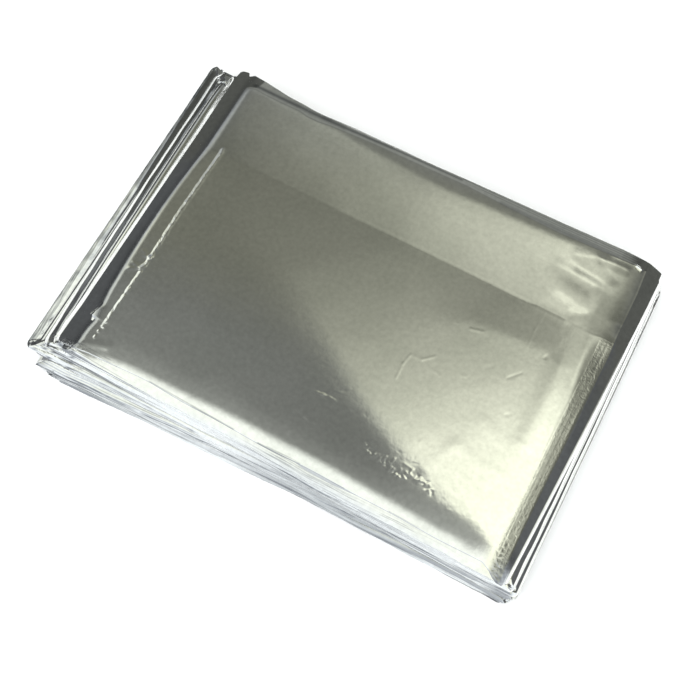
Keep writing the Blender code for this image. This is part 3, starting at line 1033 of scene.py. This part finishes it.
# the folded edges at the front and back: down in three steps, the last one in under the film
def addWraps(x, y, z):
    flat = (np.arange(len(x)) < len(x) - topCounts["round"])[:, None]
    down = flat * np.array([-0.3, -0.7, -1.0]) * top["wrapDown"]
    under = np.array([0, 0, top["wrapUnder"]])
    parts = zip((x, y, z), (0 * down, under, down), (0 * down, -under, down))
    return [np.concatenate([(values[:, :1] + front)[:, ::-1], values, values[:, -1:] + back], axis=1)
            for values, front, back in parts]


def topLook(x, y):  # how crumpled the top film is and how much painted shade it has, from where its parts lie
    most, shadeAmounts = top["crumpled"], top["dulled"]
    strip = within(x, *top["stripLook"]) * eased(y, *top["stripBack"])
    frontLeft = bump(x + 59, 4) * bump(y + 42.5, 1.5)
    frontRight = eased(y, -38, -2) * within(x, 56, 59.4, 0.5, 0.5)
    onCut = bump(x - xOn(cutLine, y), 0.5) * within(y, *top["cutSpan"])
    crumple = most["strip"] * strip + most["leftEnd"] * eased(x, -59.5, -1.5) + most["frontLeft"] * frontLeft
    crumple = crumple + most["frontRight"] * frontRight + most["cut"] * onCut
    # painted shade along the left crease and at the front right corner, with the lines of painted shade
    onCrease = bump(x - xOn(leftCreaseLine, y) + 0.1, 1.1)
    creaseShade = mix(shadeAmounts["creaseFront"], shadeAmounts["creaseBack"], eased(y, -18, 20))
    waver = 0.9 + 0.15 * sineNoise(x, y, 2.5, 0.8, 8)
    cornerShade = shadeAmounts["frontRight"] * eased(y, -34, -7) * within(x, 55, 60.6, 3, 0.4) * waver
    dull = addMarks(x, y, topShadeLines, np.maximum) + creaseShade * onCrease + cornerShade
    return np.clip(crumple, 0, 1), np.clip(dull, 0, 1)


def makeTop():  # the grid, its relief, then the round and the folded edges
    x, y, outer = topGrid()
    x, y, z = addWraps(*addRound(x, y, topSurface(x, y) + topRelief(x, y), outer))
    return x, y, z, *topLook(x, y)


topPiece = gridPiece("film_top", *makeTop(), film)
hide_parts("foil_blanket")

# floor, light and camera

studio = {
    "floorColour": (0.95, 0.95, 0.95, 1),
    "floorHalf": 6.0,
    "fillStrength": 2.6,
    "fillSpread": 120,  # degrees
    "fillTurn": (18, -14, 0),
}


def makeFloor():  # one square at height 0
    mesh = bpy.data.meshes.new("floor")
    half = studio["floorHalf"]
    corners = [(-half, -half, 0), (half, -half, 0), (half, half, 0), (-half, half, 0)]
    mesh.from_pydata(corners, [], [(0, 1, 2, 3)])
    floor = bpy.data.objects.new("floor", mesh)
    bpy.context.scene.collection.objects.link(floor)
    material = bpy.data.materials.new("floor_paper")
    graph = Graph(material)
    surface = graph.node("BsdfPrincipled", sockets={"Base Color": studio["floorColour"], "Roughness": 0.9})
    graph.finish("Material", surface)
    mesh.materials.append(material)
    return floor


# brightness of the studio around; a direction is given by its lean to the right and to the back, each per
# unit of height
sky = {
    "lowest": 0.03,  # least height of a direction, against division by nothing
    "keySpan": (-0.90, -0.20),  # of the lean to the right less that to the back
    "keyStops": [
        (0.0, 0.16), (0.34, 0.20), (0.46, 0.265), (0.557, 0.32), (0.657, 0.43), (0.75, 0.53), (0.84, 0.74),
        (0.914, 1.05), (1.0, 1.25),
    ],
    "backSpan": (-0.50, 0.10),  # of the lean to the right
    "backStops": [
        (0.0, 0.15), (0.3, 0.23), (0.45, 0.31), (0.6, 0.46), (0.75, 0.53), (0.87, 0.55), (1.0, 0.43),
    ],
    "backPanel": (1.22, 0.575, 3.6),  # the back panel at its middle, where that is, and how fast it fades
    "shadowEdge": (0.176, -0.31, 0.66),  # the shadow's back edge: a curve over the lean to the right
    "shadowSpan": (-0.45, 0.1),
    "shadowSoft": (0.005, 0.09),  # how soft that edge is, and how much softer per unit of lean to the left
    "shadowTone": 0.175,
    "dark": 0.095,
    "rightDark": 1.3,  # a multiple of that
    "leftPanel": (1.1, 0.45),  # the panel at the left, and the share of it that is left at the back
    "front": 1.15,
    "frontEdge": (0.095, 0.07),  # its back edge, and how much further back it lies at the right
    "behind": 0.19,
    "horizon": 0.95,
    "frontLow": 0.60,
    "shade": (0.22, 0.045),  # how much dimmer at the right, and how far that edge turns aside in front
    "shadeFrom": (0.04, 0.10),
    "horizonSpans": ((0.24, 0.16), (0.45, 0.20)),  # by height, and towards the back
    "aheadSoft": 0.5,
    "coolAround": (0.6, 0.9),
    "warm": (1.0, 1.02, 0.83, 1),
    "cool": (0.94, 0.99, 1.03, 1),
    "cooled": 0.5,
}
# where something sets in: its amount, then the leans to the right and to the back over which it does, each
# from its start to where it is whole, and once more if it ends again
skyParts = {
    "gap": [(0.30, (-0.16, -0.04, 0.038, 0.018), (0.365, 0.395, 0.478, 0.458))],
    "shadow": [
        (0.03, (-0.12, -0.35), (0.26, 0.20)), (0.13, (-0.11, 0), ()), (0.10, (0, 0.05), ()),
        (0.08, (), (0.18, 0.10)),
    ],
    "isShadow": [(1, (0.043, 0.025), ())],
    "backSpots": [(0.35, (-0.08, 0), (0.54, 0.58)), (0.5, (-0.24, -0.30), (0.59, 0.61))],
    "isBack": [(1, (), (0.455, 0.485))],
    "behind": [(0.07, (), (0.85, 1.1))],
    "isBehind": [(1, (), (0.595, 0.68))],
    "aside": [(1, (), (0.40, 0.34))],
    "shade": [
        (0.40, (0.12, 0.32), ()), (0.14, (0.12, 0.24), (0.38, 0.42, 0.46, 0.44)),
        (0.05, (0.12, 0.24), (0.38, 0.42)),
    ],
    "rightDark": [(0.2, (), (0.44, 0.52))],
    "isRight": [(1, (0.30, 0.52), ())],
    "leftPanel": [(0.55, (), (0.42, 0.28))],
    "isLeft": [(1, (-0.50, -0.57, -0.80, -0.74), (0.62, 0.57))],
    "leftBack": [(0.12, (-1.5, -1.6), (0.36, 0.48, 0.62, 0.58))],
    "isFarLeft": [(1, (-0.76, -0.84), ())],
    "frontRight": [(1, (0, 0.035), ())],
    "isFront": [(1, (-1.15, -0.95), ())],
    "isAhead": [(1, (), (-0.9, -1.6))],
    "coolFront": [(1, (), (0.05, -0.20))],
    "warmBack": [(1, (), (0.55, 0.75))],
    "coolShadow": [(1, (), (0.34, 0.22))],
}


def makeSky():  # panels and a shadow, each laid over those before it
    world = bpy.data.worlds.new("studio")
    bpy.context.scene.world = world
    graph = Graph(world)
    parts = graph.node("SeparateXYZ", sockets={0: graph.node("TexCoord")})
    x, y, z = [Wire(graph, output) for output in parts.socket.node.outputs]
    up = z.atLeast(sky["lowest"])
    right, back = x / up, y / up

    def ramp(value, span, stops):  # brightness by a value's place in its span
        place = (value - span[0]) / (span[1] - span[0])
        return graph.node("SeparateColor", sockets={0: graph.node("ValToRGB", {"stops": stops}, {0: place})})

    def part(name):  # the sum of its rows
        total = 0
        for amount, *leans in skyParts[name]:
            for value, ends in zip((right, back), leans):
                for start, end in zip(ends[::2], ends[1::2]):
                    amount = value.turn(start, end) * amount
            total = amount + total
        return total

    bright = ramp(right - back, sky["keySpan"], sky["keyStops"]) * (1 - part("gap"))

    start, slope, curve = sky["shadowEdge"]
    lean = right.atLeast(sky["shadowSpan"][0]).atMost(sky["shadowSpan"][1])
    line = start + lean * slope + lean * lean * curve
    narrow, softer = sky["shadowSoft"]
    soft = narrow + (0 - lean).atLeast(0) * softer
    inShadow = ((line - back) / soft * 0.5 + 0.5).rise(0, 1) * part("isShadow")
    bright = mix(bright, sky["shadowTone"] + part("shadow"), inShadow)

    most, middle, fading = sky["backPanel"]
    far = ramp(right, sky["backSpan"], sky["backStops"]) * (most - abs(back - middle) * fading)
    bright = mix(bright, far * (1 + part("backSpots")), part("isBack"))
    bright = mix(bright, sky["behind"] + part("behind"), part("isBehind"))

    dimmer, aside = sky["shade"]
    shade = (right - part("aside") * aside).rise(*sky["shadeFrom"]) * dimmer + part("shade")
    bright = bright * (1 - shade)
    bright = mix(bright, sky["dark"] * (sky["rightDark"] - part("rightDark")), part("isRight"))

    panel, least = sky["leftPanel"]
    bright = mix(bright, panel * (least + part("leftPanel")), part("isLeft"))
    bright = mix(bright, sky["dark"] + part("leftBack"), part("isFarLeft"))

    edge, further = sky["frontEdge"]
    inFront = (edge + part("frontRight") * further - back).rise(0, edge) * part("isFront")
    bright = mix(bright, sky["front"], inFront)
    byHeight, byBack = sky["horizonSpans"]
    bright = mix(bright, sky["horizon"], z.turn(*byHeight) * y.turn(*byBack))
    ahead = part("isAhead") * (0 - back - abs(right)).rise(0, sky["aheadSoft"])
    bright = mix(bright, sky["frontLow"], ahead)

    spread = (right * right + back * back) ** 0.5
    around = spread.rise(*sky["coolAround"]) * (1 - part("warmBack") * sky["cooled"])
    cool = part("coolFront").atLeast(around)
    cool = cool.atLeast(inShadow * part("coolShadow") * sky["cooled"])
    colour = graph.scaled(graph.blend(cool, sky["warm"], sky["cool"]), bright)
    graph.finish("World", graph.node("Background", sockets={"Color": colour, "Strength": 1.0}))


def makeLights():  # one wide soft light that the film doesn't mirror
    data = bpy.data.lights.new("fill", "SUN")
    data.energy = studio["fillStrength"]
    data.angle = math.radians(studio["fillSpread"])
    light = bpy.data.objects.new("fill", data)
    light.rotation_euler = [math.radians(angle) for angle in studio["fillTurn"]]
    light.visible_glossy = False
    bpy.context.scene.collection.objects.link(light)


view = {  # the camera's place in metres, its lens in mm and its turns in degrees
    "place": (0.04987, -0.08119, 0.25538),
    "lens": 54.0,
    "turn": (19.053, 0.996, 28.644),
}


def makeCamera():  # at its place, turned by its three angles
    data = bpy.data.cameras.new("camera")
    data.lens = view["lens"]
    data.clip_start = 0.01
    camera = bpy.data.objects.new("camera", data)
    camera.location = view["place"]
    camera.rotation_euler = Euler([math.radians(angle) for angle in view["turn"]], "XYZ")
    bpy.context.scene.collection.objects.link(camera)
    bpy.context.scene.camera = camera


makeFloor()
makeSky()
makeLights()
makeCamera()
bpy.context.scene.view_settings.view_transform = "Standard"
print("studio ready")
